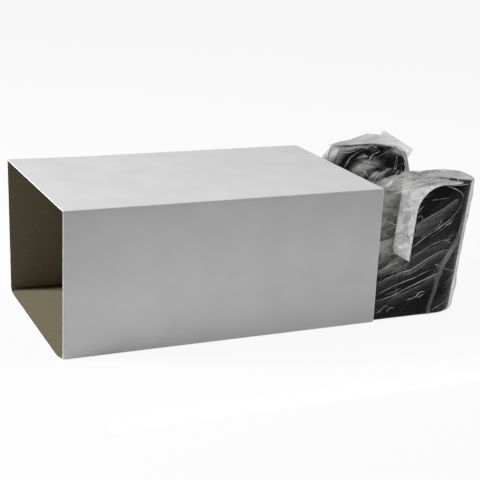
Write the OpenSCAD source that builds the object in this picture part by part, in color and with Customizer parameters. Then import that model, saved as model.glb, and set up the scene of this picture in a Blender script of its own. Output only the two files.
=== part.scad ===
// Bar caddy in a clear bag, pulled part of the way out of its carton sleeve.
// Millimetres. Origin at the middle of the sleeve's underside, +X the way the caddy comes out,
// the front at -Y, +Z up.

/* [Caddy body] */
// Length of the caddy over its rim
caddy_length = 246; // [220:1:280]
// Width of the caddy over its front and rear walls
caddy_width = 148; // [130:1:170]
// Height of the body from its underside to its rim
body_height = 107; // [90:0.1:130]
// Thickness of the upright walls
wall = 2.5; // [1.8:0.1:4]
// Thickness of the floor
floor_thickness = 3; // [2.2:0.1:5]
// Radius of the upright corners
corner_radius = 24; // [15:1:32]
// Outward lean of the two end walls, in degrees
end_lean = 6; // [2:0.1:9]

/* [Cut-outs between the corner posts] */
// Width of the front and rear cut-outs at their lower edge
napkin_cut_width = 118; // [90:1:122]
// Height of the lower edge of the front and rear cut-outs above the underside
napkin_cut_height = 31; // [20:1:45]
// Width of the end cut-outs at their lower edge
end_cut_width = 76; // [56:1:84]
// Height of the lower edge of the end cut-outs above the underside
end_cut_height = 15; // [10:1:40]
// Outward slant of the front and rear cut-outs' sides, in degrees
napkin_cut_slant = 5; // [1:0.5:8]
// Outward slant of the end cut-outs' sides, in degrees
end_cut_slant = 2; // [1:0.5:4]
// Radius of the posts' upper corners at the front and rear cut-outs
napkin_post_radius = 24; // [10:1:28]
// Radius of the posts' upper corners at the end cut-outs
end_post_radius = 25; // [10:1:28]
// Radius of the front and rear cut-outs' lower corners
napkin_foot_radius = 6; // [3:0.5:9]
// Radius of the end cut-outs' lower corners
end_foot_radius = 6; // [3:0.5:14]

/* [Dividers] */
// Clear width of the napkin well between the two dividers
well_width = 131; // [125:1:140]
// Thickness of a divider
divider_thickness = 2; // [1.5:0.1:3]
// Height of a divider above the body's underside
divider_top = 42; // [34:1:50]
// Radius of the finger scoop in a divider's upper edge
scoop_radius = 45; // [35:1:60]
// Depth of the finger scoop
scoop_depth = 9; // [4:0.5:14]
// Width of each rib that guides a divider
rib_width = 2; // [1.2:0.1:3]
// How far a guide rib stands out of the wall
rib_depth = 2.5; // [1.5:0.1:4]
// Clearance around a divider in its guides
divider_clearance = 0.25; // [0.15:0.05:0.5]

/* [Feet] */
// Diameter of an anti-slip pad
foot_diameter = 12; // [8:0.5:16]
// Thickness of an anti-slip pad
foot_thickness = 1.2; // [0.9:0.1:2]
// How far a pad stands out of its recess
foot_proud = 0.3; // [0.2:0.1:0.8]
// Clearance around a pad in its recess
foot_clearance = 0.15; // [0.1:0.05:0.4]
// Distance of a pad's centre from the caddy's end at the rim
foot_end_inset = 39; // [34:1:60]
// Distance of a pad's centre from the front or rear wall's outer face
foot_side_inset = 24; // [18:1:40]

/* [Bag] */
// Thickness of the bag's film
film_thickness = 0.15; // [0.1:0.05:0.4]
// Clearance between the film and the caddy
film_slack = 0.25; // [0.2:0.05:0.6]
// Room between the caddy's end and the bag's sealed end
bag_end_room = 3; // [2:0.5:12]
// How far the film's top dips at the sealed end, beside the rear post
dip_depth = 19; // [8:1:24]
// Reach of the dip from its lowest line towards the front
dip_width = 70; // [50:1:80]
// Reach of the dip from the sealed end inwards
dip_length = 48; // [36:1:60]
// How far the bag's mouth reaches past the caddy's other end
bag_mouth_reach = 5; // [4:1:30]

/* [Carton sleeve] */
// Length of the sleeve
sleeve_length = 254; // [230:1:280]
// Thickness of the board
board = 0.5; // [0.4:0.05:1]
// Outside radius of the folds
fold_radius = 1.1; // [1.05:0.05:2]
// Height of the glued lap inside the front panel
lap_height = 18; // [10:1:30]
// Play between the bag and each side panel
side_play = 1.7; // [1.2:0.05:3]
// Play between the bag and the top panel
top_play = 1.1; // [0.4:0.05:3]
// Play between the bag and the bottom panel
bottom_play = 0.15; // [0.1:0.05:0.5]
// How far the caddy's rim stands out of the sleeve
pulled_out = 94; // [0:1:150]

/* [Hidden] */
$fn = 96;

// Reach of a cutting shape past the faces that it cuts
past = 5;
// Flats that make up each round corner of a cut-out
arc_steps = 12;

// The stack of heights, from the table up
bag_bottom = board + bottom_play;
foot_bottom = bag_bottom + film_thickness + film_slack;
body_bottom = foot_bottom + foot_proud;
rim_z = body_bottom + body_height;
bag_top = rim_z + film_slack + film_thickness;
sleeve_height = bag_top + top_play + board;

// Widths, from the caddy out
bag_width = caddy_width + 2 * (film_slack + film_thickness);
sleeve_width = bag_width + 2 * (side_play + board);

// Places along the sleeve
caddy_x = sleeve_length / 2 + pulled_out - caddy_length / 2;
bag_end_x = caddy_x + caddy_length / 2 + bag_end_room;
bag_mouth_x = caddy_x - caddy_length / 2 - bag_mouth_reach;

// Room between the dip and the rear post's upper corner
dip_room = 1;
dip_y = end_cut_width / 2;
dip_slope = atan(dip_depth / dip_length);

divider_x = well_width / 2 + divider_thickness / 2;
foot_x = caddy_length / 2 - foot_end_inset;
foot_y = caddy_width / 2 - foot_side_inset;
foot_recess = foot_thickness - foot_proud;

// A rectangle with round corners, centred on the origin
module round_rectangle(width, height, radius) {
    square([width - 2 * radius, height], center = true);
    square([width, height - 2 * radius], center = true);
    for (side_x = [-1, 1])
        for (side_y = [-1, 1])
            translate([side_x * (width / 2 - radius), side_y * (height / 2 - radius)])
                circle(r = radius);
}

// A strip along -X that ends at x = 0 with two round corners
module round_ended_strip(width, radius, reach) {
    translate([-reach, -width / 2])
        square([reach - radius, width]);
    translate([-reach, radius - width / 2])
        square([reach, width - 2 * radius]);
    for (side = [-1, 1])
        translate([-radius, side * (width / 2 - radius)])
            circle(r = radius);
}

// An endless tray whose one end leans outward, inset from the body's outer faces
module leaning_end(inset) {
    translate([caddy_length / 2, 0, body_height])
        rotate([0, end_lean, 0])
            translate([-inset, 0, -2 * body_height])
                linear_extrude(4 * body_height)
                    round_ended_strip(caddy_width - 2 * inset, corner_radius - inset, 2 * caddy_length);
}

// The space inside both leaning ends, between two heights
module tray_space(inset, low, high) {
    intersection() {
        leaning_end(inset);
        mirror([1, 0, 0])
            leaning_end(inset);
        translate([-caddy_length, -caddy_width, low])
            cube([2 * caddy_length, 2 * caddy_width, high - low]);
    }
}

// Points along an arc, from one angle to another
function arc(center, radius, from, to) =
    [for (i = [0 : arc_steps])
        let (angle = from + (to - from) * i / arc_steps)
            center + radius * [cos(angle), sin(angle)]];

// Centre of the round where a cut-out's side rolls over into the rim
function post_center(width, low, slant, radius) =
    [width / 2 + (body_height - radius - low) * tan(slant) + radius / cos(slant), body_height - radius];

// Outline of a cut-out: slanted sides, round lower corners, sides that roll over into the rim
module cut_outline(width, low, slant, foot_radius, post_radius) {
    foot = [width / 2 + foot_radius * tan(slant) - foot_radius / cos(slant), low + foot_radius];
    post = post_center(width, low, slant, post_radius);
    right_half = concat(
        arc(foot, foot_radius, -90, -slant),
        arc(post, post_radius, 180 - slant, 90),
        [[post[0], body_height + past]]
    );
    left_half = [for (i = [len(right_half) - 1 : -1 : 0]) [-right_half[i][0], right_half[i][1]]];
    polygon(concat(right_half, left_half));
}

module napkin_cut() {
    rotate([90, 0, 0])
        linear_extrude(caddy_width + 2 * past, center = true)
            cut_outline(
                napkin_cut_width, napkin_cut_height, napkin_cut_slant,
                napkin_foot_radius, napkin_post_radius
            );
}

module end_cut() {
    rotate([90, 0, 90])
        linear_extrude(caddy_length + 2 * past, center = true)
            cut_outline(
                end_cut_width, end_cut_height, end_cut_slant,
                end_foot_radius, end_post_radius
            );
}

// Two ribs on each long wall that guide one divider
module divider_guides(side) {
    slot = divider_thickness + 2 * divider_clearance;
    for (wall_side = [-1, 1])
        for (slot_side = [-1, 1])
            translate([
                side * divider_x + slot_side * (slot + rib_width) / 2,
                wall_side * (caddy_width / 2 - wall - rib_depth / 2 + wall / 4),
                (floor_thickness / 2 + divider_top) / 2
            ])
                cube([rib_width, rib_depth + wall / 2, divider_top - floor_thickness / 2], center = true);
}

module caddy_body() {
    color("#17181a")
        translate([caddy_x, 0, body_bottom]) {
            difference() {
                tray_space(0, 0, body_height);
                tray_space(wall, floor_thickness, body_height + past);
                napkin_cut();
                end_cut();
                for (side_x = [-1, 1])
                    for (side_y = [-1, 1])
                        translate([side_x * foot_x, side_y * foot_y, -past])
                            cylinder(d = foot_diameter + 2 * foot_clearance, h = foot_recess + past);
            }
            for (side = [-1, 1])
                divider_guides(side);
        }
}

// A loose partition that drops into its guides, with a scoop to lift it by
module divider(side) {
    length = caddy_width - 2 * (wall + divider_clearance);
    low = floor_thickness + divider_clearance;
    color("#1d1e20")
        translate([caddy_x + side * divider_x, 0, body_bottom])
            difference() {
                translate([-divider_thickness / 2, -length / 2, low])
                    cube([divider_thickness, length, divider_top - low]);
                translate([0, 0, divider_top - scoop_depth + scoop_radius])
                    rotate([0, 90, 0])
                        cylinder(r = scoop_radius, h = divider_thickness + 2 * past, center = true);
            }
}

module foot(side_x, side_y) {
    color("#2a2a2b")
        translate([caddy_x + side_x * foot_x, side_y * foot_y, foot_bottom])
            cylinder(d = foot_diameter, h = foot_thickness);
}

// The dip in the film's top: a long slope from the front, and a steep rise round the rear post
module dip_outline(gap) {
    post = post_center(end_cut_width, end_cut_height, end_cut_slant, end_post_radius) - [0, body_height];
    polygon(concat(
        [[dip_y - 2 * dip_width, gap + dip_depth], [dip_y, gap - dip_depth]],
        arc(post, end_post_radius + dip_room + gap, 160, 90),
        [[post[0], 2 * dip_depth], [dip_y - 2 * dip_width, 2 * dip_depth]]
    ));
}

module end_dip(gap) {
    translate([bag_end_x, 0, rim_z])
        rotate([0, dip_slope, 0])
            rotate([90, 0, 90])
                linear_extrude(3 * dip_length, center = true)
                    dip_outline(gap);
}

// The space inside the film, at a gap from the caddy: a leaning sealed end, and a top that dips there
module bag_space(gap, mouth_reach) {
    difference() {
        intersection() {
            translate([caddy_x + bag_end_room, 0, body_bottom])
                leaning_end(-gap);
            translate([bag_mouth_x - mouth_reach, -caddy_width, foot_bottom - gap])
                cube([2 * caddy_length, 2 * caddy_width, rim_z - foot_bottom + 2 * gap]);
        }
        end_dip(gap);
    }
}

// The film as one thin shell, open at its mouth
module poly_bag() {
    color("#c9cbc4", 0.35)
        difference() {
            bag_space(film_slack + film_thickness, 0);
            bag_space(film_slack, past);
        }
}

module carton_sleeve() {
    inner_width = sleeve_width - 2 * board;
    inner_height = sleeve_height - 2 * board;
    color("#e9e9ea")
        translate([0, 0, sleeve_height / 2])
            rotate([90, 0, 90])
                linear_extrude(sleeve_length, center = true) {
                    difference() {
                        round_rectangle(sleeve_width, sleeve_height, fold_radius);
                        round_rectangle(inner_width, inner_height, fold_radius - board);
                    }
                    translate([-sleeve_width / 2 + board / 2, -sleeve_height / 2 + board / 2])
                        square([1.5 * board, lap_height]);
                }
}

carton_sleeve();
poly_bag();
caddy_body();
divider(-1);  // left_divider
divider(1);  // right_divider
foot(-1, -1);  // front_left_foot
foot(1, -1);  // front_right_foot
foot(-1, 1);  // rear_left_foot
foot(1, 1);  // rear_right_foot
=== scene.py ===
"""Bar caddy in its clear bag, pulled part of the way out of a white carton sleeve."""
import math

import bmesh
import bpy
import numpy as np
from mathutils import Matrix, Vector, noise


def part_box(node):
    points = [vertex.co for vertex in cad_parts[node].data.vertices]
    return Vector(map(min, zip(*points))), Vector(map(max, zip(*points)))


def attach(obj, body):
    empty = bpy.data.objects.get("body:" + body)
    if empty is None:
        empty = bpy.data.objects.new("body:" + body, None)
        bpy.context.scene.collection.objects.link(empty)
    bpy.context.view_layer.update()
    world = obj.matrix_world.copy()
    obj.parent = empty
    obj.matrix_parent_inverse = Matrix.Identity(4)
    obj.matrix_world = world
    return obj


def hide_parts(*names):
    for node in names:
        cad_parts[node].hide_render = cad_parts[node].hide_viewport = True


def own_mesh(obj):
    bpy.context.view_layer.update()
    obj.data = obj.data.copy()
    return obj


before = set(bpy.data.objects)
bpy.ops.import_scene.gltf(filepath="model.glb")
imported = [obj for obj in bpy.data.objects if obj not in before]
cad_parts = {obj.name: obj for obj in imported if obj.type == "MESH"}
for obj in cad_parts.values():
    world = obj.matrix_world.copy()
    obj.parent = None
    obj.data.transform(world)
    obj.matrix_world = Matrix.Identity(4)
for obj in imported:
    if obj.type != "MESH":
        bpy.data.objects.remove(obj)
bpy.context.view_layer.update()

MM = 0.001

# Places that the frame gives
sleeve_low, sleeve_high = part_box("carton_sleeve")
body_low, body_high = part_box("caddy_body")
bag_low, bag_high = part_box("poly_bag")
BODY_LENGTH = body_high.x - body_low.x
BODY_WIDTH = body_high.y - body_low.y
BODY_CENTRE = (body_low + body_high) / 2


# Materials

FIBRE_DEPTH = 0.05 * MM
GRAIN_DEPTH = 0.02 * MM
# Facets of the film, in cycles a metre along, through and across its folds
FACET_SCALE = (26, 34, 78)
FINE_SCALE = (90, 90, 190)
FACET_TURN = (0, -0.42, 0)
TOP_FACET_SCALE = (16, 62, 40)
TOP_FACET_TURN = (0, 0, 0.62)
FACET_WANDER = 1.1
FACET_SWAY = 0.3
# Haze of film that lies on the plastic, and of the clearest and haziest facets of loose film
RESTING_HAZE = 0.28
SIDE_HAZE = (0.5, 0.86)
TOP_HAZE = (0.05, 1.0)
PATCH_GRAIN = 40
PLEAT_GRAIN = 110
STRIP_GRAIN = 30
SHADE_COVER = 0.3
FLOOR_WHITENESS = 0.92


class Shader:
    """A material whose nodes are added by short calls. An input takes a value or another node's output."""

    def __init__(self, name):
        self.material = bpy.data.materials.new(name)
        self.material.use_nodes = True
        self.tree = self.material.node_tree
        self.surface = self.tree.nodes["Principled BSDF"]
        self.place = self.add("TexCoord").outputs["Object"]

    def put(self, socket, value):
        if isinstance(value, bpy.types.NodeSocket):
            self.tree.links.new(value, socket)
        else:
            socket.default_value = value

    def add(self, kind, inputs=None, **settings):
        """A node with its settings, and its inputs by name or number."""
        node = self.tree.nodes.new("ShaderNode" + kind)
        for key, value in settings.items():
            setattr(node, key, value)
        for key, value in (inputs or {}).items():
            self.put(node.inputs[key], value)
        return node

    def set(self, **values):
        """Inputs of the surface, with an underscore for each space in their names."""
        for key, value in values.items():
            self.put(self.surface.inputs[key.replace("_", " ")], value)

    def stretched(self, scale, turn):
        inputs = {"Vector": self.place, "Scale": [1 / s for s in scale], "Rotation": turn}
        return self.add("Mapping", inputs, vector_type="TEXTURE").outputs["Vector"]

    def noise(self, scale, detail=3, turn=(0, 0, 0), distortion=0):
        """Noise whose scale is given along each axis, in cycles a metre."""
        inputs = {"Vector": self.stretched(scale, turn), "Scale": 1}
        inputs.update(Detail=detail, Distortion=distortion)
        return self.add("TexNoise", inputs).outputs["Fac"]

    def facets(self, scale, turn):
        """Flat facets with wandering borders: a tone, the distance to the border, the place across it."""
        place = self.stretched(scale, turn)
        wander = self.add("TexNoise", {"Vector": place, "Scale": FACET_WANDER, "Detail": 1}).outputs["Color"]
        inputs = {0: wander, 1: (FACET_SWAY, FACET_SWAY, FACET_SWAY), 2: place}
        moved = self.add("VectorMath", inputs, operation="MULTIPLY_ADD").outputs["Vector"]
        inputs = {"Vector": moved, "Scale": 1}
        cells, borders = [self.add("TexVoronoi", inputs, feature=f) for f in ("F1", "DISTANCE_TO_EDGE")]
        tone = self.add("SeparateColor", {"Color": cells.outputs["Color"]})
        from_middle = self.add("VectorMath", {0: moved, 1: cells.outputs["Position"]}, operation="SUBTRACT")
        across = self.add("SeparateXYZ", {"Vector": from_middle.outputs["Vector"]})
        return tone.outputs["Red"], borders.outputs["Distance"], across.outputs["Z"]

    def ramp(self, value, *stops):
        """Colours at positions along a value."""
        ramp = self.add("ValToRGB", {"Fac": value})
        elements = ramp.color_ramp.elements
        while len(elements) < len(stops):
            elements.new(0.5)
        for element, (position, colour) in zip(elements, stops):
            element.position = position
            element.color = (*colour, 1)
        return ramp.outputs["Color"]

    def range(self, value, low, high, to_low, to_high):
        """A value carried from one range to another, and held there."""
        inputs = {"Value": value, "From Min": low, "From Max": high, "To Min": to_low, "To Max": to_high}
        return self.add("MapRange", inputs).outputs["Result"]

    def math(self, operation, first, second):
        return self.add("Math", {0: first, 1: second}, operation=operation).outputs["Value"]

    def times(self, first, second):
        return self.math("MULTIPLY", first, second)

    def attribute(self, name):
        return self.add("Attribute", attribute_name=name).outputs["Fac"]

    def tinted(self, colour, share, tint):
        """A colour that turns into a tint by a share."""
        mix = self.add("Mix", {"Factor": share}, data_type="RGBA")
        for socket, value in zip([s for s in mix.inputs if s.type == "RGBA"], (colour, (*tint, 1))):
            self.put(socket, value)
        return next(socket for socket in mix.outputs if socket.type == "RGBA")

    def bump(self, height, depth, strength):
        node = self.add("Bump", {"Height": height, "Distance": depth, "Strength": strength})
        self.set(Normal=node.outputs["Normal"])


def grey(level):
    return (level, level, level)


def coated_board():
    """Outside of the carton: white clay-coated board, faintly cloudy."""
    shader = Shader("coated_board")
    cloud = shader.noise((38, 38, 38), 4)
    fibre = shader.noise((260, 900, 900))
    shader.set(
        Base_Color=shader.ramp(cloud, (0.3, (0.795, 0.795, 0.80)), (0.7, (0.845, 0.845, 0.85))),
        Roughness=shader.range(fibre, 0.3, 0.7, 0.5, 0.62),
        Specular_IOR_Level=0.3,
    )
    shader.bump(fibre, FIBRE_DEPTH, 0.35)
    return shader.material


def plain_material(name, scale, detail, stops, roughness, specular, relief=0, distortion=0):
    """A material whose one noise gives both its colours and its relief."""
    shader = Shader(name)
    grain = shader.noise(scale, detail, distortion=distortion)
    shader.set(Base_Color=shader.ramp(grain, *stops), Roughness=roughness, Specular_IOR_Level=specular)
    if relief:
        shader.bump(grain, FIBRE_DEPTH, relief)
    return shader.material


def fold_and_highlight_board():
    """Whiter, a little glossier coating on the top-front fold and the strip at the right end: partly the
    fold's stretched coating, partly a painted highlight.
    """
    stops = [(0.3, grey(0.88)), (0.7, grey(0.97))]
    return plain_material("fold_and_highlight_board", (120, 400, 400), 4, stops, 0.4, 0.4)


def raw_board(name="raw_board", level=1):
    """Inside of the carton: grey-brown recycled board with fibres; a darker copy of it is the painted shade
    in the inside crease.
    """
    stops = [(0.25, (0.225, 0.201, 0.13)), (0.55, (0.255, 0.229, 0.152)), (0.8, (0.285, 0.258, 0.18))]
    stops = [(position, [level * part for part in colour]) for position, colour in stops]
    return plain_material(name, (180, 700, 700), 5, stops, 0.85, 0.15, relief=0.3, distortion=0.6)


def cut_board():
    """Cut edge of the board: pale fibres."""
    stops = [(0.3, (0.80, 0.79, 0.77)), (0.7, (0.93, 0.92, 0.90))]
    return plain_material("cut_board", (900, 900, 900), 3, stops, 0.85, 0.15, relief=0.5)


def black_plastic():
    """Moulded black plastic with a faint flow and a satin gloss."""
    shader = Shader("black_plastic")
    flow = shader.noise((30, 30, 18), 4)
    scuff = shader.noise((60, 60, 400), 4, turn=(0.4, 0.2, 0.6))
    shader.set(
        Base_Color=shader.ramp(flow, (0.3, (0.0065, 0.0065, 0.007)), (0.7, (0.011, 0.011, 0.012))),
        Roughness=shader.range(scuff, 0.35, 0.75, 0.22, 0.36),
        Specular_IOR_Level=0.07,
    )
    shader.bump(shader.noise((1500, 1500, 1500), 2), GRAIN_DEPTH, 0.12)
    return shader.material


def pad_rubber():
    """Matt dark rubber with a fine grain."""
    stops = [(0.3, grey(0.018)), (0.7, grey(0.035))]
    return plain_material("pad_rubber", (1200, 1200, 1200), 4, stops, 0.8, 0.25, relief=0.6)


def film_surface(shader, haze, shade=None):
    """Clear film whose haze covers what is behind it, more at a flat angle; the haze also carries painted
    sheen and glints, and the film is dark in painted shade.
    """
    veil = shader.math("POWER", shader.add("LayerWeight", {"Blend": 0.5}).outputs["Facing"], 3)
    cover = shader.range(shader.math("ADD", haze, veil), 0, 1.2, 0.05, 0.9)
    middle, pale, palest = (0.2, 0.203, 0.204), (0.52, 0.523, 0.51), (0.84, 0.843, 0.79)
    colour = shader.ramp(haze, (0, grey(0.03)), (0.3, middle), (0.5, pale), (0.75, palest))
    if shade is not None:
        cover = shader.math("ADD", cover, shader.times(shade, SHADE_COVER))
        colour = shader.tinted(colour, shade, grey(0.05))
    shader.set(Alpha=cover, Base_Color=colour, Roughness=0.16, Specular_IOR_Level=0.3)
    return shader.material


def sheet_film(name, scale, turn, hanging_haze):
    """Film of the bag: nearly clear on the plastic, hazier where it hangs loose and along its folds, whose
    bright borders are painted glints.
    Attributes of the mesh say where it hangs loose, where it is gathered, where sheen and glints are painted
    into it, and where painted shade falls."""
    shader = Shader(name)
    loose, gather_sheen_glint, shaded = [shader.attribute(key) for key in ("loose", "gather_sheen_glint", "shaded")]
    patch = shader.noise((PATCH_GRAIN, PATCH_GRAIN, PATCH_GRAIN))
    tone, border, across = shader.facets(scale, turn)
    fine_tone, fine_border, _ = shader.facets(FINE_SCALE, FACET_TURN)
    sheen = shader.range(across, -0.4, 0.4, 0.35, 1.2)
    resting = shader.times(shader.range(tone, 0.4, 1, 0, RESTING_HAZE), sheen)
    hanging = shader.range(tone, 0, 1, *hanging_haze)
    hanging = shader.math("ADD", hanging, shader.range(fine_tone, 0, 1, -0.12, 0.14))
    # Each loose facet is lighter towards one edge: painted sheen
    hanging = shader.times(hanging, shader.range(across, -0.4, 0.4, 0.8, 1.15))
    mixed = shader.add("Mix", {"Factor": loose, "A": resting, "B": hanging}).outputs["Result"]
    # Bright facet borders: painted glints along the film's creases
    border_glints = shader.times(shader.range(border, 0, 0.035, 0.6, 0), shader.range(patch, 0.45, 0.6, 0, 1))
    fine_glints = shader.range(fine_border, 0, 0.05, 0.5, 0)
    fine_glints = shader.times(fine_glints, shader.range(patch, 0.55, 0.68, 0, 1))
    # The attribute adds haze where the film is gathered or carries painted sheen, and takes it away along the
    # creases of painted glints and where the film is pulled tight
    haze = shader.math("ADD", mixed, gather_sheen_glint)
    haze = shader.math("MAXIMUM", haze, shader.math("MAXIMUM", border_glints, fine_glints))
    shade = shader.times(shader.range(fine_border, 0, 0.09, 0.8, 0), shader.range(patch, 0.42, 0.52, 1, 0))
    shade = shader.math("MAXIMUM", shader.times(shade, loose), shaded)
    return film_surface(shader, haze, shade)


def doubled_film(name, haze, grain=PLEAT_GRAIN):
    """Film of a pleat or strip, with one haze all over that varies with its grain."""
    shader = Shader(name)
    patch = shader.noise((grain, grain, grain))
    return film_surface(shader, shader.range(patch, 0.3, 0.7, haze * 0.5, haze * 1.35))


def ear_film():
    """The bag's spare corner: hazy film with clearer streaks along it, where the white behind shows through
    as painted glints.
    """
    shader = Shader("ear_film")
    streak = shader.noise((16, 16, 130), turn=(0, -0.22, 0), distortion=0.4)
    patch = shader.noise((45, 45, 60))
    haze = shader.range(streak, 0.4, 0.6, 0.95, 0.3)
    haze = shader.math("ADD", haze, shader.range(patch, 0.3, 0.7, -0.1, 0.1))
    cover = shader.range(haze, 0, 1.2, 0.05, 0.7)
    colour = shader.ramp(haze, (0.3, (0.16, 0.161, 0.15)), (1, (0.40, 0.402, 0.375)))
    shader.set(Alpha=cover, Base_Color=colour, Roughness=0.2, Specular_IOR_Level=0.3)
    return shader.material


def studio_floor():
    """White floor that reads white to the camera and in reflections, and keeps a faint shadow."""
    shader = Shader("studio_floor")
    shader.set(Base_Color=(0.8, 0.8, 0.8, 1), Roughness=1, Specular_IOR_Level=0)
    ray = shader.add("LightPath").outputs
    seen = shader.math("MAXIMUM", ray["Is Camera Ray"], ray["Is Glossy Ray"])
    seen = shader.math("MAXIMUM", seen, ray["Is Transmission Ray"])
    white = shader.add("Emission", {"Strength": 1}).outputs["Emission"]
    share = shader.times(seen, FLOOR_WHITENESS)
    mix = shader.add("MixShader", {"Fac": share, 1: shader.surface.outputs["BSDF"], 2: white})
    shader.put(shader.tree.nodes["Material Output"].inputs["Surface"], mix.outputs["Shader"])
    return shader.material


# Meshes and curves

SAME_PLACE = 0.001 * MM
SHARP_ANGLE = math.radians(40)


def new_object(name, points, faces, materials, slots=None):
    """A smooth mesh piece from points and faces."""
    mesh = bpy.data.meshes.new(name)
    mesh.from_pydata([tuple(p) for p in points], [], faces)
    for material in materials:
        mesh.materials.append(material)
    if slots is not None:
        mesh.polygons.foreach_set("material_index", slots)
    mesh.polygons.foreach_set("use_smooth", [True] * len(faces))
    mesh.update()
    piece = bpy.data.objects.new(name, mesh)
    bpy.context.scene.collection.objects.link(piece)
    return piece


def weld(piece, distance=SAME_PLACE, fill=False):
    """Joins points that meet, closes holes where asked, and turns the faces outward."""
    work = bmesh.new()
    work.from_mesh(piece.data)
    bmesh.ops.remove_doubles(work, verts=work.verts, dist=distance)
    if fill:
        bmesh.ops.holes_fill(work, edges=[edge for edge in work.edges if edge.is_boundary], sides=0)
    bmesh.ops.recalc_face_normals(work, faces=work.faces)
    work.to_mesh(piece.data)
    work.free()


def bevelled(piece, edges, offset):
    """Rounds some edges of a mesh, which are chosen by a test."""
    work = bmesh.new()
    work.from_mesh(piece.data)
    chosen = [edge for edge in work.edges if edges(edge)]
    bmesh.ops.bevel(work, geom=chosen, offset=offset, segments=3, affect="EDGES", profile=0.5)
    work.to_mesh(piece.data)
    work.free()
    piece.data.polygons.foreach_set("use_smooth", [True] * len(piece.data.polygons))
    piece.data.set_sharp_from_angle(angle=SHARP_ANGLE)


def grid_faces(rows, columns, start=0, closed=False):
    """Quads of a grid of points that are stored row by row."""
    faces = []
    last = columns if closed else columns - 1
    for row in range(rows - 1):
        for column in range(last):
            beside = (column + 1) % columns
            low, high = start + row * columns, start + (row + 1) * columns
            faces.append((low + column, low + beside, high + beside, high + column))
    return faces


def arc(centre, radius, start, end, steps):
    """Points along an arc in a plane, without its end."""
    angles = np.linspace(start, end, steps + 1)[:-1]
    return [(centre[0] + radius * math.cos(a), centre[1] + radius * math.sin(a)) for a in angles]


def line(start, end, steps):
    """Points along a straight stretch, without its end."""
    return [tuple(np.array(start) + (np.array(end) - np.array(start)) * i / steps) for i in range(steps)]


def direction(angle):
    return np.array((math.cos(angle), math.sin(angle)))


def unit(vectors):
    return vectors / np.linalg.norm(vectors, axis=1)[:, None]


def table_at(table, place):
    """Reads a table of pairs in millimetres at a place in metres."""
    return np.interp(place / MM, *zip(*table))


def bump_at(value, centre, reach):
    """A smooth bump of height 1 around a centre."""
    return np.exp(-(((value - centre) / reach) ** 2))


def smooth_step(value, low, high):
    """A smooth rise from 0 at a low value to 1 at a high one."""
    share = np.clip((value - low) / (high - low), 0, 1)
    return share * share * (3 - 2 * share)


def triangle(value):
    """A zigzag from 1 to 0 and back, once for each whole number."""
    return np.abs(2 * (value - np.floor(value)) - 1)


# Carton sleeve

BOARD = 0.7 * MM
TOP_FOLD = 1.1 * MM
BOTTOM_FOLD = 3.6 * MM
SLEEVE_STATIONS = 33
PANEL_STEPS = 24
FOLD_STEPS = 6
PANEL_BOW = 0.25 * MM
# Width of the strip along the sleeve's right end that takes the whiter board, a painted highlight on its edge
HIGHLIGHT_EDGE = 0.8 * MM
SLEEVE_SHARP = math.radians(50)
# Numbers of the sleeve's materials
COATED, RAW, CUT, HIGHLIGHTED_COAT, CREASE_SHADE = range(5)
# Middle steps of the rear bottom fold, where the inside board is darker: painted shade in the crease
REAR_FOLD = 3 * PANEL_STEPS + 2 * FOLD_STEPS
CREASE_SHADE_STEPS = (REAR_FOLD + 2, REAR_FOLD + 3)
CREASE_SHADE_TONE = 0.4
# At the left mouth the blank is cut a little out of square: how far each panel's edge stands in
MOUTH_FRONT_FOLD = 1.3 * MM
MOUTH_REAR_FOLD = 5 * MM
MOUTH_REACH = 60 * MM
MOUTH_FRONT = [(0, 0.75), (110, 0.3)]
MOUTH_TOP = [(-76, 0.3), (76, -1.2)]
MOUTH_REAR = [(0, 1.0), (110, -1.2)]
MOUTH_BOTTOM = [(-76.6, 0.75), (-69, -1.5), (60, 0.3), (76, 1.0)]
MOUTH_LIFT = 0.8 * MM
# The lap, whose upper edge is bevelled
LAP_HEIGHT = 18 * MM
LAP_BOARD = 0.35 * MM
LAP_EDGE_SHARE = 0.7
LAP_EDGE = 0.2 * MM
LAP_END = 2 * MM
LAP_STATIONS = 9


def sleeve_loop(inset, share):
    """Section of the sleeve in y and z at a share of its length, from the front bottom fold up and round."""
    low_y, high_y = sleeve_low.y + inset, sleeve_high.y - inset
    low_z, high_z = sleeve_low.z + inset, sleeve_high.z - inset
    top = TOP_FOLD - inset
    front = np.interp(share, (0, 1), (MOUTH_FRONT_FOLD, BOTTOM_FOLD)) - inset
    rear = np.interp(share, (0, 1), (MOUTH_REAR_FOLD, BOTTOM_FOLD)) - inset
    loop = []
    loop += line((low_y, low_z + front), (low_y, high_z - top), PANEL_STEPS)
    loop += arc((low_y + top, high_z - top), top, math.pi, math.pi / 2, FOLD_STEPS)
    loop += line((low_y + top, high_z), (high_y - top, high_z), PANEL_STEPS)
    loop += arc((high_y - top, high_z - top), top, math.pi / 2, 0, FOLD_STEPS)
    loop += line((high_y, high_z - top), (high_y, low_z + rear), PANEL_STEPS)
    loop += arc((high_y - rear, low_z + rear), rear, 0, -math.pi / 2, FOLD_STEPS)
    loop += line((high_y - rear, low_z), (low_y + front, low_z), PANEL_STEPS)
    loop += arc((low_y + front, low_z + front), front, -math.pi / 2, -math.pi, FOLD_STEPS)
    return np.array(loop)


def mouth_skew(x, y, z):
    """How far the sleeve's points near the left mouth are moved along it and up."""
    near = 1 - smooth_step(x, sleeve_low.x, sleeve_low.x + MOUTH_REACH)
    skew = np.where(z > sleeve_high.z - BOTTOM_FOLD, table_at(MOUTH_TOP, y), table_at(MOUTH_BOTTOM, y))
    upright = (z > 2 * BOARD) & (z < sleeve_high.z - BOTTOM_FOLD)
    skew = np.where(upright, np.where(y < 0, table_at(MOUTH_FRONT, z), table_at(MOUTH_REAR, z)), skew)
    lift = MOUTH_LIFT * (z / sleeve_high.z) * (0.5 + 0.5 * y / sleeve_high.y)
    return skew * MM * near, lift * near


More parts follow.
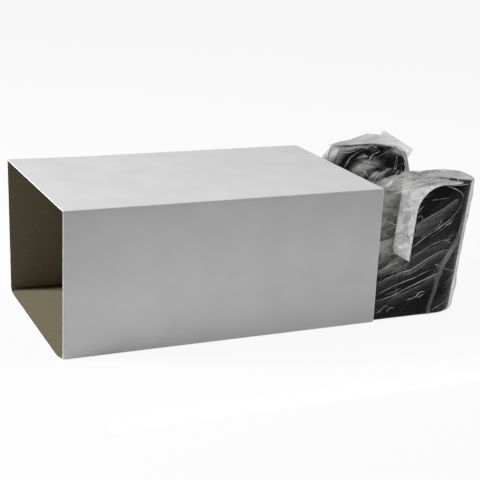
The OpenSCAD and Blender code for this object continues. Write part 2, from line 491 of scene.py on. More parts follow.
def panel_bow(x, y, z):
    """How far the panels bow in, most at the middle of the sleeve's length."""
    across_y = np.clip(1 - (y / sleeve_high.y) ** 2, 0, 1)
    across_z = np.clip(1 - (2 * z / sleeve_high.z - 1) ** 2, 0, 1)
    wave = 0.6 + 0.4 * np.cos(x / sleeve_high.x * math.pi)
    inward_y = -np.sign(y) * PANEL_BOW * wave * across_z * (np.abs(y) > sleeve_high.y - BOTTOM_FOLD)
    inward_z = -PANEL_BOW * wave * across_y * (z > sleeve_high.z - BOTTOM_FOLD)
    return inward_y, inward_z


def carton_sleeve():
    points = []
    length = sleeve_high.x - sleeve_low.x
    for share in np.append(np.linspace(0, 1 - HIGHLIGHT_EDGE / length, SLEEVE_STATIONS - 1), 1):
        x = sleeve_low.x + length * share
        for inset in (0, BOARD):
            y, z = sleeve_loop(inset, share).T
            bow_y, bow_z = panel_bow(x, y, z)
            skew, lift = mouth_skew(x, y, z)
            points += list(zip(x + skew, y + bow_y, z + bow_z + lift))
    count = len(y)
    faces, slots = [], []
    for station in range(SLEEVE_STATIONS - 1):
        here, there = 2 * count * station, 2 * count * (station + 1)
        for i in range(count):
            j = (i + 1) % count
            faces.append((here + i, there + i, there + j, here + j))
            faces.append((here + count + j, there + count + j, there + count + i, here + count + i))
            # The top-front fold and the strip at the right end take the whiter board: a painted highlight,
            # with the fold's stretched coating
            highlighted = station == SLEEVE_STATIONS - 2 or PANEL_STEPS <= i < PANEL_STEPS + FOLD_STEPS
            slots += [HIGHLIGHTED_COAT if highlighted else COATED, CREASE_SHADE if i in CREASE_SHADE_STEPS else RAW]
    for end, turn in ((0, 1), (2 * count * (SLEEVE_STATIONS - 1), -1)):
        for i in range(count):
            j = (i + 1) % count
            faces.append((end + i, end + j, end + count + j, end + count + i)[::turn])
            slots.append(CUT)
    shaded_board = raw_board("crease_shade_board", CREASE_SHADE_TONE)
    materials = [coated_board(), raw_board(), cut_board(), fold_and_highlight_board(), shaded_board]
    sleeve = new_object("sleeve", points, faces, materials, slots)
    sleeve.data.set_sharp_from_angle(angle=SLEEVE_SHARP)
    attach(sleeve, "sleeve")
    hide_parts("carton_sleeve")
    return sleeve


def glued_lap(board):
    """The lap that closes the blank, glued inside the front panel."""
    y = sleeve_low.y + BOARD + PANEL_BOW
    low, high = sleeve_low.z + BOTTOM_FOLD, sleeve_low.z + LAP_HEIGHT
    inner = y + LAP_BOARD
    edge = (y + LAP_BOARD * LAP_EDGE_SHARE, high - LAP_EDGE)
    section = [(y, low), (y, high), edge, (inner, high - BOARD), (inner, low)]
    stations = np.linspace(sleeve_low.x + LAP_END, sleeve_high.x - LAP_END, LAP_STATIONS)
    points = [(x, a, b) for x in stations for a, b in section]
    faces = grid_faces(len(stations), len(section), closed=True)
    faces += [tuple(range(len(section)))[::-1], tuple(range(len(points) - len(section), len(points)))]
    lap = new_object("sleeve_lap", points, faces, [board])
    lap.data.set_sharp_from_angle(angle=SHARP_ANGLE)
    weld(lap)
    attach(lap, "sleeve")


# Caddy body: a leaning tray whose walls are cut down between four corner posts

WALL = 2.5 * MM
FLOOR = 3 * MM
CORNER = 24 * MM
END_LEAN = math.radians(6)
NAPKIN_CUT = dict(half_width=59 * MM, low=31 * MM, slant=math.radians(5), foot=6 * MM, post=24 * MM)
END_CUT = dict(half_width=38 * MM, low=15 * MM, slant=math.radians(2), foot=6 * MM, post=25 * MM)
LIP = 0.8 * MM
BASE_EDGE = 1.5 * MM
FLOOR_FILLET = 2 * MM
SILL_STEPS = 10
ARC_STEPS = 8
SIDE_STEPS = 8
RIM_STEPS = 6
CORNER_STEPS = 10
EDGE_STEPS = 3
WALL_STEPS = 4
FIXED_REACH = 88.5 * MM
BODY_WELD = 0.01 * MM

corner_y = BODY_WIDTH / 2 - CORNER
flat_reach = BODY_LENGTH / 2 - CORNER


def body_end_x(z):
    """Where the leaning end's outer face stands at a height."""
    return body_high.x - (body_high.z - z) * math.tan(END_LEAN)


def cut_edge(half_width, low, slant, foot, post):
    """Edge of a cut-out from its middle to the rim: places, and at each the way out of the wall."""
    sill = body_low.z + low
    lean, stretch = math.tan(slant), 1 / math.cos(slant)
    foot_centre = np.array((half_width + foot * lean - foot * stretch, sill + foot))
    post_low = body_high.z - post
    post_centre = np.array((half_width + (post_low - sill) * lean + post * stretch, post_low))
    places = [np.array((t, sill)) for t in np.linspace(0, foot_centre[0], SILL_STEPS, endpoint=False)]
    ways = [np.array((0.0, 1.0))] * SILL_STEPS
    for angle in np.linspace(-math.pi / 2, -slant, ARC_STEPS):
        places.append(foot_centre + foot * direction(angle))
        ways.append(-direction(angle))
    side_start = places[-1]
    side_end = post_centre + post * direction(math.pi - slant)
    for share in np.arange(1, SIDE_STEPS) / SIDE_STEPS:
        places.append(side_start + (side_end - side_start) * share)
        ways.append(direction(math.pi - slant))
    for angle in np.linspace(math.pi - slant, math.pi / 2, 2 * ARC_STEPS):
        places.append(post_centre + post * direction(angle))
        ways.append(direction(angle))
    return places, ways


end_post_y = cut_edge(**END_CUT)[0][-1][0]


def wall_place(part, place, z, depth):
    """A point of the wall: part and place say where along it, depth is counted from its outer face."""
    end = body_end_x(z)
    centre_x = end - CORNER
    radius = CORNER - depth
    if part == "front":
        stretch = (centre_x - BODY_CENTRE.x - FIXED_REACH) / (flat_reach - FIXED_REACH)
        reach = place if place < FIXED_REACH else FIXED_REACH + (place - FIXED_REACH) * stretch
        return BODY_CENTRE.x + reach, depth - BODY_WIDTH / 2, z
    if part == "corner":
        angle = place * math.acos((end_post_y - corner_y) / radius)
        return centre_x + radius * math.sin(angle), -corner_y - radius * math.cos(angle), z
    if place > corner_y:
        return centre_x + math.sqrt(radius**2 - (place - corner_y) ** 2), -place, z
    return end - depth, -place, z


def wall_column(part, place, z, way):
    """Points below one place of the wall's edge: up the outside, over the lip and down the inside."""
    base, floor_top = body_low.z, body_low.z + FLOOR
    face_place, face_z = place - way[0] * LIP, z - way[1] * LIP
    quarter = np.linspace(0, math.pi / 2, EDGE_STEPS + 1)
    points = []
    for a in quarter:
        points.append((face_place, base + BASE_EDGE * (1 - math.cos(a)), BASE_EDGE * (1 - math.sin(a))))
    points += [(face_place, h, 0) for h in np.linspace(base + BASE_EDGE, face_z, WALL_STEPS + 1)[1:]]
    for a, inner in [(a, False) for a in quarter[1:]] + [(a, True) for a in quarter[::-1]]:
        back = LIP * (1 - math.sin(a))
        depth = LIP * (1 - math.cos(a))
        points.append((place - way[0] * back, z - way[1] * back, WALL - depth if inner else depth))
    fillet_top = floor_top + FLOOR_FILLET
    points += [(face_place, h, WALL) for h in np.linspace(face_z, fillet_top, WALL_STEPS + 1)[1:]]
    for a in quarter[1:]:
        fillet_z = floor_top + FLOOR_FILLET * (1 - math.sin(a))
        points.append((face_place, fillet_z, WALL + FLOOR_FILLET * (1 - math.cos(a))))
    return [wall_place(part, *point) for point in points]


def body_quarter():
    """Columns of the wall from the middle of the front to the middle of the right end."""
    rim, up = body_high.z, (0, 1)
    places, ways = cut_edge(**NAPKIN_CUT)
    columns = [wall_column("front", t, z, way) for (t, z), way in zip(places, ways)]
    for t in np.linspace(places[-1][0], flat_reach, RIM_STEPS + 1)[1:]:
        columns.append(wall_column("front", t, rim, up))
    for share in np.linspace(0, 1, CORNER_STEPS + 1)[1:-1]:
        columns.append(wall_column("corner", share, rim, up))
    places, ways = cut_edge(**END_CUT)
    columns += [wall_column("end", t, z, way) for (t, z), way in zip(places[::-1], ways[::-1])]
    return np.array(columns)


def caddy_body(plastic):
    quarter = body_quarter()
    columns, rows = quarter.shape[:2]
    points, faces = [], []
    for side_x in (1, -1):
        for side_y in (1, -1):
            copy = quarter.reshape(-1, 3).copy()
            copy[:, 0] = BODY_CENTRE.x + side_x * (copy[:, 0] - BODY_CENTRE.x)
            copy[:, 1] *= side_y
            faces += grid_faces(columns, rows, len(points) * len(copy))
            points.append(copy)
    body = new_object("caddy_tray", np.concatenate(points), faces, [plastic])
    weld(body, BODY_WELD, fill=True)
    for face in body.data.polygons:
        face.use_smooth = len(face.vertices) <= 4
    body.data.set_sharp_from_angle(angle=SHARP_ANGLE)
    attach(body, "caddy")
    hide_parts("caddy_body")


# Ribs that guide the dividers, the dividers and the pads

RIB_WIDTH = 2 * MM
RIB_DEPTH = 2.5 * MM
RIB_BEVEL = 0.5 * MM
SLOT_CLEARANCE = 0.25 * MM
DIVIDER_BEVEL = 0.55 * MM
SCOOP_RADIUS = 45 * MM
SCOOP_DEPTH = 9 * MM
SCOOP_STEPS = 28
FEET = ["front_left_foot", "front_right_foot", "rear_left_foot", "rear_right_foot"]
PAD_STEPS = 48
PAD_EDGE = 0.25 * MM
PAD_SHARP = math.radians(30)
PAD_GROOVES = (1.6 * MM, 3.2 * MM, 4.6 * MM)
GROOVE_HALF = 0.3 * MM
GROOVE_DEPTH = 0.18 * MM
# Section of a groove, in half widths and in depths
GROOVE_SECTION = ((-1.5, 0), (-1, 1), (1, 1), (1.5, 0))


def box_faces(start):
    corners = [(0, 2, 3, 1), (4, 5, 7, 6), (0, 1, 5, 4), (2, 6, 7, 3), (0, 4, 6, 2), (1, 3, 7, 5)]
    return [tuple(start + i for i in face) for face in corners]


def guide_ribs(plastic):
    points, faces = [], []
    wall_y = BODY_WIDTH / 2 - WALL
    for name in ("left_divider", "right_divider"):
        low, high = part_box(name)
        for wall_side in (-1, 1):
            for start_x in (low.x - SLOT_CLEARANCE - RIB_WIDTH, high.x + SLOT_CLEARANCE):
                faces += box_faces(len(points))
                for x in (start_x, start_x + RIB_WIDTH):
                    for y in (wall_side * (wall_y - RIB_DEPTH), wall_side * (wall_y + WALL / 2)):
                        points += [(x, y, z) for z in (body_low.z + FLOOR / 2, high.z)]
    ribs = new_object("guide_ribs", points, faces, [plastic])
    weld(ribs)
    bevelled(ribs, lambda edge: True, RIB_BEVEL)
    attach(ribs, "caddy")


def divider(name, body, plastic):
    """A loose partition with a finger scoop in its upper edge."""
    low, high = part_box(name)
    scoop_z = high.z - SCOOP_DEPTH + SCOOP_RADIUS
    half_angle = math.acos((SCOOP_RADIUS - SCOOP_DEPTH) / SCOOP_RADIUS)
    outline = [(low.y, low.z), (high.y, low.z), (high.y, high.z)]
    for angle in np.linspace(half_angle, -half_angle, SCOOP_STEPS):
        outline.append((SCOOP_RADIUS * math.sin(angle), scoop_z - SCOOP_RADIUS * math.cos(angle)))
    outline.append((low.y, high.z))
    count = len(outline)
    points = [(x, y, z) for x in (low.x, high.x) for y, z in outline]
    faces = [tuple(range(count)), tuple(range(2 * count - 1, count - 1, -1))]
    faces += grid_faces(2, count, closed=True)
    plate = new_object(name + "_plate", points, faces, [plastic])
    weld(plate)
    bevelled(plate, lambda edge: edge.verts[0].co.x == edge.verts[1].co.x, DIVIDER_BEVEL)
    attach(plate, body)
    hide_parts(name)


def pad(name, rubber):
    """A round anti-slip pad with fine grooves in its underside."""
    low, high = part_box(name)
    centre, radius = (low + high) / 2, (high.x - low.x) / 2
    profile = []
    for groove in PAD_GROOVES:
        profile += [(groove + a * GROOVE_HALF, low.z + b * GROOVE_DEPTH) for a, b in GROOVE_SECTION]
    profile += [(radius - PAD_EDGE, low.z), (radius, low.z + PAD_EDGE), (radius, high.z)]
    turns = np.linspace(0, 2 * math.pi, PAD_STEPS, endpoint=False)
    points = []
    for r, z in profile:
        points += [(centre.x + r * math.cos(a), centre.y + r * math.sin(a), z) for a in turns]
    disc = new_object(name + "_pad", points, grid_faces(len(profile), PAD_STEPS, closed=True), [rubber])
    weld(disc, fill=True)
    disc.data.set_sharp_from_angle(angle=PAD_SHARP)
    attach(disc, "caddy")
    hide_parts(name)


# Film bag: a side wall that follows the caddy, a top sheet that sags between the posts, a flat underside

FILM_CORNER = 26 * MM
FILM_EDGE = 1.5 * MM
FILM_FOOT = 3.0 * MM
FILM_FIXED_X = 150 * MM
FILM_GAP = 0.1 * MM
FILM_CREASE = 0.7 * MM
FILM_WELD = 0.02 * MM
SPAN_SAG = 2.4 * MM
SPAN_CREASE = 1.8 * MM
# Height of the film's top edge along the front, the rear and the closed end, in millimetres
FRONT_EDGE = [(-30, 108.7), (30, 108.9), (45, 106), (98, 104), (130, 103.6), (139, 103.8), (145, 104.6),
              (151, 105.5), (158, 106.6), (170, 108.7), (200, 109)]
REAR_EDGE = [(-30, 108.7), (30, 108.9), (98, 104), (128, 99), (140, 95), (150, 98.5), (161, 108.7),
             (200, 109)]
END_EDGE = [(-75, 109), (-50, 109.2), (-36, 109.2), (-15, 105.6), (-6, 103.2), (4, 98.6), (18, 94.2),
            (37, 89.3), (40, 90.5), (46, 101), (52, 105.6), (60, 108.8), (75, 109)]
END_EDGE_REACH = 8 * MM
# How far the film stands past the leaning end: its slack, and the depth, height and reach of each bulge
END_SLACK = 3.1
END_BULGES = [(0.8, 90, 14), (1.4, 19, 9)]
# Families of facets: share, slope along and up the film, size, wander, and whether the seed moves them
FACETS = [
    (0.45, 0.5, -1, 13 * MM, 1.3, 1),
    (0.30, 0.15, -1, 21 * MM, -1.1, 0),
    (0.25, 1.0, 0.6, 17 * MM, 0.8, 0),
]
FACET_TILT = 0.7
WANDER_SCALE = 22
# The facets' strength fades with a noise of its own: its scale, its place and its middle and range
FADE_SCALE = 35
FADE_PLACE = 7
FADE_RANGE = (0.75, 0.9)
SIDE_SEED = 3.0
TOP_SEED = 5.0
# Where film spans a cut-out: from all to none away from its middle, and from none to all above its sill
NAPKIN_SPAN = (49 * MM, 64 * MM)
NAPKIN_SPAN_LOW = (34 * MM, 50 * MM)
END_SPAN = (24 * MM, 40 * MM)
END_SPAN_LOW = (19 * MM, 40 * MM)
HIDDEN_COLUMNS = 44
SHOWN_COLUMNS = 72
CORNER_COLUMNS = 30
END_COLUMNS = 64
SIDE_ROWS = 84
EDGE_ROWS = 4
SHOWN_X = 122 * MM

flat_end_x = body_high.x - CORNER
corner_length = FILM_CORNER * math.pi / 2
end_half = bag_high.y - FILM_CORNER
end_middle = flat_end_x + corner_length + end_half
film_low = bag_low.z + FILM_GAP


def film_end_x(z):
    """Where the loose film stands past the leaning end, bulging near the rim and near the foot."""
    slack = END_SLACK
    for depth, height, reach in END_BULGES:
        slack = slack + depth * bump_at(z, height * MM, reach * MM)
    return body_end_x(z) + slack * MM


def film_plan(u, z, inset):
    """Plan of the film's front half, and its normals: u runs along the front to the end's middle."""
    centre_x = film_end_x(z) - FILM_CORNER
    stretch = (centre_x - FILM_FIXED_X) / (flat_end_x - FILM_FIXED_X)
    flat = np.where(u < FILM_FIXED_X, u, FILM_FIXED_X + (u - FILM_FIXED_X) * stretch)
    angle = np.clip((u - flat_end_x) / FILM_CORNER, 0, math.pi / 2)
    along_end = np.clip(u - flat_end_x - corner_length, 0, None)
    x = np.where(u < flat_end_x, flat, centre_x + (FILM_CORNER - inset) * np.sin(angle))
    y = -end_half - (FILM_CORNER - inset) * np.cos(angle) + along_end
    return x, y, np.sin(angle), -np.cos(angle)


def edge_height(x, y):
    """Height of the film's top edge at a place on its plan."""
    edge = np.where(y < 0, table_at(FRONT_EDGE, x), table_at(REAR_EDGE, x))
    return np.where(x > flat_end_x - END_EDGE_REACH, table_at(END_EDGE, y), edge) * MM


def crumple(x, y, z, seed):
    """Straight-edged facets, finer and coarser, that fade in and out over the film."""
    places = [Vector(place) for place in zip(x, y, z)]
    wander = np.array([noise.noise(place * WANDER_SCALE + Vector((seed, 0, 0))) for place in places])
    fade = np.array([noise.noise(place * FADE_SCALE + Vector((0, seed, FADE_PLACE))) for place in places])
    across = x + np.abs(y) * FACET_TILT
    facets = 0
    for share, along, up, size, sway, seeded in FACETS:
        facets += share * triangle((along * across + up * z) / size + sway * wander + seeded * seed)
    return (facets - 0.5) * (FADE_RANGE[0] + FADE_RANGE[1] * fade)


def spans(x, y, z):
    """1 where the film spans a cut-out and nothing is behind it."""
    napkin = 1 - smooth_step(np.abs(x - BODY_CENTRE.x), *NAPKIN_SPAN)
    napkin = napkin * smooth_step(z, *NAPKIN_SPAN_LOW) * (np.abs(y) > end_half)
    end = 1 - smooth_step(np.abs(y), *END_SPAN)
    end = end * smooth_step(z, *END_SPAN_LOW) * (x > flat_end_x)
    return np.maximum(napkin, end)


def film_side(u, z, inset, rear):
    """Points of the side film; the rear half mirrors the plan of the front half."""
    x, y, normal_x, normal_y = film_plan(u, z, inset)
    side = np.where(rear, -1.0, 1.0)
    y = y * side
    free = spans(x, y, z)
    out = FILM_GAP + crumple(x, y, z, SIDE_SEED) * (FILM_CREASE + SPAN_CREASE * free) - SPAN_SAG * free
    return np.stack([x + normal_x * out, y + normal_y * side * out, z], axis=-1)


def film_stations():
    """Places along the plan from the front of the mouth round to its rear, and which are on the rear half."""
    half = np.concatenate([
        np.linspace(bag_low.x, SHOWN_X, HIDDEN_COLUMNS, endpoint=False),
        np.linspace(SHOWN_X, flat_end_x, SHOWN_COLUMNS, endpoint=False),
        np.linspace(flat_end_x, flat_end_x + corner_length, CORNER_COLUMNS, endpoint=False),
        np.linspace(flat_end_x + corner_length, end_middle, END_COLUMNS // 2 + 1),
    ])
    u = np.concatenate([half, half[-2::-1]])
    return u, np.arange(len(u)) >= len(half)


def side_wall():
    """Grid of side points: rows from the foot up, each from the front of the mouth round to its rear."""
    u, rear = film_stations()
    x, y, _, _ = film_plan(u, np.full(len(u), body_high.z), 0)
    top = edge_height(x, np.where(rear, -y, y))
    bend = np.linspace(math.pi / 2, 0, EDGE_ROWS, endpoint=False)
    rows = []
    for angle in bend:
        rows.append((film_low + FILM_FOOT * (1 - math.sin(angle)) + 0 * u, FILM_FOOT * (1 - math.cos(angle))))
    for share in np.linspace(0, 1, SIDE_ROWS):
        rows.append((film_low + FILM_FOOT + (top - film_low - FILM_FOOT - FILM_EDGE) * share, 0))
    for angle in bend[::-1]:
        rows.append((top - FILM_EDGE * (1 - math.sin(angle)), FILM_EDGE * (1 - math.cos(angle))))
    return np.array([film_side(u, z, inset, rear) for z, inset in rows])


TOP_SAG = 6 * MM
SAG_POWER = 1.5
TOP_CREASE = 2.2 * MM
# The top sheet's creases run as if its y were a height: the slope and the start of it
TOP_TILT = 0.4
TOP_START = 80 * MM
# How fast the sheet is free beside its edges, and how slack it is in the mouth
EDGE_FREEDOM = 6
MOUTH_SLACK = 0.2
# Stretches of x where the sag begins, and where the closed end begins to hold the sheet
SAG_START = (-20 * MM, 30 * MM)
END_HOLD_X = 165 * MM
# Looseness of the sheets, and the rims and posts that hold the top sheet
TOP_LOOSENESS = 0.75
REAR_LOOSENESS = 0.2
END_LOOSENESS = 0.6
SIDE_RIM = (64 * MM, 71 * MM)
END_RIM = (208 * MM, 218 * MM)
POST_X = 160 * MM
POST_Y = 40 * MM
RIM_HOLD = 0.8


def cap_sheet(edge_row):
    """Flat sheet that closes a top or bottom edge: rows across y, the last one along the closed end."""
    half = len(edge_row) // 2
    reach = half - END_COLUMNS // 2
    shares = np.linspace(0, 1, END_COLUMNS + 1)
    rows = []
    for front, rear in zip(edge_row[:reach], edge_row[::-1]):
        rows.append(front + (rear - front) * shares[:, None])
    rows.append(edge_row[reach:len(edge_row) - reach])
    return np.array(rows)


def sagging_sheet(edge_row):
    """The top sheet, which sags and creases between the side walls and is pulled to the closed end's edge."""
    sheet = cap_sheet(edge_row)
    x, y, z = (sheet[..., i] for i in range(3))
    across = np.sin(np.linspace(0, 1, END_COLUMNS + 1) * math.pi)[None, :]
    past_mouth = smooth_step(x, *SAG_START)
    sag = TOP_SAG * across**SAG_POWER * past_mouth
    towards_end = smooth_step(x, END_HOLD_X, sheet[-1, :, 0].min())
    pull = towards_end * np.minimum(1, EDGE_FREEDOM * across) * (table_at(END_EDGE, y) * MM - z + sag)
    facets = crumple(x.ravel(), y.ravel(), (TOP_TILT * y + TOP_START).ravel(), TOP_SEED).reshape(x.shape)
    slack = TOP_CREASE * across * np.maximum(past_mouth, MOUTH_SLACK) * (1 - towards_end**3)
    lift = -sag + pull + facets * slack
    lift[-1] = 0
    sheet[..., 2] += lift
    return sheet


def sheet_height(sheet, x, y):
    """Height of the top sheet over a place."""
    middle = sheet.shape[1] // 2
    row = np.interp(x, sheet[:, middle, 0], np.arange(len(sheet)))
    low = min(int(row), len(sheet) - 2)
    heights = [np.interp(y, sheet[i, :, 1], sheet[i, :, 2]) for i in (low, low + 1)]
    return heights[0] + (heights[1] - heights[0]) * (row - low)


def mark(piece, name, values):
    """Writes a value at each point of the mesh."""
    attribute = piece.data.attributes.new(name, "FLOAT", "POINT")
    attribute.data.foreach_set("value", values.astype(np.float32))


def mark_loose(piece, places, sides):
    """Writes where the film hangs loose: over the cut-outs, and on the top sheet away from the posts."""
    x, y, z = places.T
    loose = spans(x, y, z)
    loose[(y > end_half) & (x < flat_end_x)] *= REAR_LOOSENESS
    loose[x > flat_end_x] *= END_LOOSENESS
    x, y, z = places[sides:].T
    over_rim = np.maximum(smooth_step(np.abs(y), *SIDE_RIM) * (x > POST_X), smooth_step(x, *END_RIM))
    held = RIM_HOLD * over_rim * (np.abs(y) > POST_Y)
    loose[sides:] = (z > BODY_CENTRE.z) * TOP_LOOSENESS * (1 - held)
    mark(piece, "loose", loose)


# The long folds' slopes, lighter on one side as painted sheen: which pleat, the side below (-1) or above (1)
# it, the haze added and its reach
FOLD_SLOPES = [(0, -1, 0.12, 4), (1, -1, 0.30, 5), (2, 1, 0.15, 4), (3, -1, 0.26, 6), (4, 1, 0.22, 5),
               (6, -1, 0.36, 8)]
FOLD_END = 5
# Bands of the top sheet, gathered or pulled tight: the haze added, its reach and a line in x and y. The
# gathered, lighter bands are painted sheen; the tight ones clear the film to the black under it
TOP_BANDS = [
    (-0.8, 6, [(148, 34), (161, 40), (181, 54)]),
    (-0.8, 4, [(204, 57), (210, 57)]),
    (-0.6, 3, [(193, 48), (199, 50.5)]),
    (-0.8, 4, [(171, 4), (209, 46)]),
    (-0.8, 5, [(175, -11), (212, 43)]),
    (0.12, 5, [(155, 22), (167, 22), (194, 46), (207, 52)]),
    (0.2, 5, [(158, 62), (183, 66)]),
    (-0.3, 9, [(150, -8), (160, -18), (172, -8)]),
    (0.6, 6, [(213.5, 70), (213, 56), (216, 51)]),
    (-0.5, 8, [(195, -46), (211, -66)]),
    (-0.6, 3, [(161, -71), (167, -71), (174, -69), (183, -65)]),
    (-0.5, 3, [(170, -53), (181, -42), (185, -43)]),
    (-0.5, 3, [(187, -39.5), (193.5, -37.5), (198.5, -35)]),
    (-0.6, 3, [(210, -20.5), (194, -45.5), (187, -56.5)]),
]
# Sharp creases over the front cut-out, where light comes through: the film is cleared along them as painted
# glints, with lines along the film and in z
SPAN_BANDS = [
    (-0.8, 1.7, [(150, 90.7), (155, 91), (160, 92.6), (164, 95)]),
    (-0.8, 1.7, [(155, 104), (153.6, 97.3)]),
    (-0.7, 1.6, [(150, 76.6), (154.3, 79.4), (160.3, 86)]),
    (-0.6, 1.6, [(150, 70.8), (156.7, 72.8)]),
    (-0.6, 1.6, [(148, 60.7), (151, 61), (158.7, 64.7)]),
    (-0.6, 1.6, [(150, 70.4), (151, 69), (157.6, 63.4)]),
    (0.15, 8, [(132, 103), (142, 103)]),
]
# Shaded film over the cut-out, beside the divider and low down
SPAN_SHADES = [
    (0.5, 4, [(146, 100), (144.5, 84), (142.5, 68), (141.5, 54)]),
    (0.5, 9, [(144, 48), (150, 55)]),
    (0.2, 16, [(156, 100), (153, 76), (151, 60)]),
]
# Darker film on top, with lines in x and y: over the front post the photograph shows black under the film
TOP_SHADES = [
    (1.6, 3.5, [(195, -51), (200, -58)]),
    (2.4, 4.5, [(203, -61), (207, -65.5), (213, -69)]),
    (0.6, 3, [(187, -15), (189, -18), (190, -29)]),
    (0.6, 3, [(162, -67), (171, -69), (188, -61)]),
    (0.6, 3, [(185, -46), (189, -46.5), (190, -50)]),
]
# Darker film beside the rear post, a painted reflection of the post's black: the photograph shows black
# further to the left than the post reaches
REAR_SHADES = [(2.8, 7.5, [(160.5, 84), (162, 95), (166, 101.5), (176, 106)])]
# Gathered film on the closed end, with a line in y and z
END_BANDS = [(0.6, 5, [(43, 84), (46, 92), (54, 99)])]


def band_amount(first, second, bands):
    """Sum of the bands' strengths at places given by two coordinates in millimetres: haze, painted sheen or
    painted shade.
    """
    places = np.stack([first, second], axis=-1)
    haze = np.zeros(len(places))
    for strength, reach, path in bands:
        nearest = np.full(len(places), np.inf)
        for start, end in zip(np.array(path, float), np.array(path[1:], float)):
            way = end - start
            share = np.clip((places - start) @ way / (way @ way), 0, 1)
            nearest = np.minimum(nearest, np.linalg.norm(places - start - share[:, None] * way, axis=1))
        haze += strength * bump_at(nearest, 0, reach)
    return haze


def slope_sheen(u, z):
    """Painted sheen, added as haze, on one slope of each long fold, at places along the film and heights in
    millimetres.
    """
    haze = np.zeros(len(u))
    for pleat, side, strength, reach in FOLD_SLOPES:
        path_u, path_z = np.array(FRONT_PLEATS[pleat][1], float).T
        away = side * (z - np.interp(u, path_u, path_z))
        along = smooth_step(u, path_u[0] - FOLD_END, path_u[0])
        along = along * (1 - smooth_step(u, path_u[-1], path_u[-1] + FOLD_END))
        haze += strength * along * bump_at(away, 0, reach) * (away > 0)
    return haze


def mark_gather_sheen_glint(piece, places, rows):
    """Writes where the film is gathered or pulled tight, where sheen and glints are painted into it, and
    where painted shade falls.
    """
    x, y, z = places.T / MM
    along, rear = [np.tile(values, rows) for values in film_stations()]
    along = along / MM
    sides = len(along)
    gather_sheen_glint, shaded = np.zeros(len(x)), np.zeros(len(x))
    gather_sheen_glint[:sides] = slope_sheen(along, z[:sides])
    gather_sheen_glint[:sides] += band_amount(along, z[:sides], SPAN_BANDS) * ~rear
    at_end = np.flatnonzero(x[:sides] > flat_end_x / MM)
    gather_sheen_glint[at_end] += band_amount(y[at_end], z[at_end], END_BANDS)
    front_shade, rear_shade = [band_amount(along, z[:sides], shades) for shades in (SPAN_SHADES, REAR_SHADES)]
    shaded[:sides] = np.where(rear, rear_shade, front_shade)
    on_top = sides + np.flatnonzero(z[sides:] > BODY_CENTRE.z / MM)
    gather_sheen_glint[on_top] += band_amount(x[on_top], y[on_top], TOP_BANDS)
    shaded[on_top] = band_amount(x[on_top], y[on_top], TOP_SHADES)
    mark(piece, "gather_sheen_glint", gather_sheen_glint)
    mark(piece, "shaded", shaded)


def film_bag():
    wall = side_wall()
    top_sheet = sagging_sheet(wall[-1])
    points, faces, slots = [], [], []
    for grid, slot in ((wall, 0), (top_sheet, 1), (cap_sheet(wall[0]), 0)):
        quads = grid_faces(grid.shape[0], grid.shape[1], len(points))
        faces += quads
        slots += [slot] * len(quads)
        points += list(grid.reshape(-1, 3))
    side_film = sheet_film("clear_film", FACET_SCALE, FACET_TURN, SIDE_HAZE)
    top_film = sheet_film("top_film", TOP_FACET_SCALE, TOP_FACET_TURN, TOP_HAZE)
    bag = new_object("bag_film", points, faces, [side_film, top_film], slots)
    places = np.array([v.co for v in bag.data.vertices])
    mark_loose(bag, places, wall.shape[0] * wall.shape[1])
    mark_gather_sheen_glint(bag, places, len(wall))
    weld(bag, FILM_WELD)
    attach(bag, "bag")
    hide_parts("poly_bag")
    return top_sheet


# Pleats: narrow folds of doubled film along the bag's creases, whose extra haze is also a painted glint along
# the ridge

# Each has a width, and places along the front film from the sleeve's middle with their heights
FRONT_PLEATS = [
    (0.5, [(128, 41), (138.5, 45.5), (148, 47)]),
    (0.5, [(128, 32.5), (147.5, 39), (159, 41), (174, 48), (188, 54), (197, 55.5)]),
    (0.5, [(128, 22.5), (148, 30), (166, 34.5), (178, 38.5), (189, 40.5)]),
    (0.6, [(128, 18), (140.5, 20), (154.5, 25), (170.5, 30), (183, 34), (193.5, 37)]),
    (0.4, [(159, 50.5), (172.5, 57.5), (185.5, 62.5), (198, 64)]),
    (0.5, [(159, 59), (170, 67), (182.5, 73.5), (193.5, 81.5), (200, 90), (201.5, 97)]),
    (0.5, [(162, 79.5), (173, 84.5), (184.5, 90), (195.5, 97)]),
    (0.5, [(184, 108.5), (192.5, 105.5), (200, 101), (201, 97)]),
    (0.35, [(172.5, 97.5), (189.5, 98.5)]),
    (0.6, [(184, 108.4), (195, 108.3), (206, 108.2), (216, 107.6)]),
    (0.4, [(189, 4), (207, 12.5)]),
]
# Short creases and glints
FRONT_GLINTS = [
    (0.5, [(165.5, 93.5), (162.5, 90.5), (161, 87)]),
    (0.4, [(160.5, 83), (164, 85.5), (167.5, 81)]),
    (0.8, [(158.5, 16), (168, 17.5), (172, 21), (178.5, 21.5)]),
    (0.6, [(169.5, 16.5), (177.5, 19.5)]),
    (0.5, [(130, 7.5), (133.5, 9), (137, 12), (141.5, 13)]),
    (0.5, [(139.5, 7.5), (142.5, 10.5), (146.5, 10.5)]),
    (0.5, [(188.5, 75.5), (195.5, 78)]),
    (1.0, [(186, 44), (189.5, 42)]),
    (1.2, [(146, 46.5), (148, 48)]),
    (0.5, [(131.5, 84), (139, 80.5), (146, 77.5), (151, 75)]),
    (0.5, [(131.5, 73), (140.5, 67.5)]),
    (0.5, [(142, 57), (148, 54.5), (153, 57.5), (158.5, 60.5)]),
    (0.5, [(134.5, 57), (138.5, 57), (140.5, 54.5), (142, 55.5), (145, 52.5)]),
    (0.5, [(130, 47.5), (135, 51)]),
]
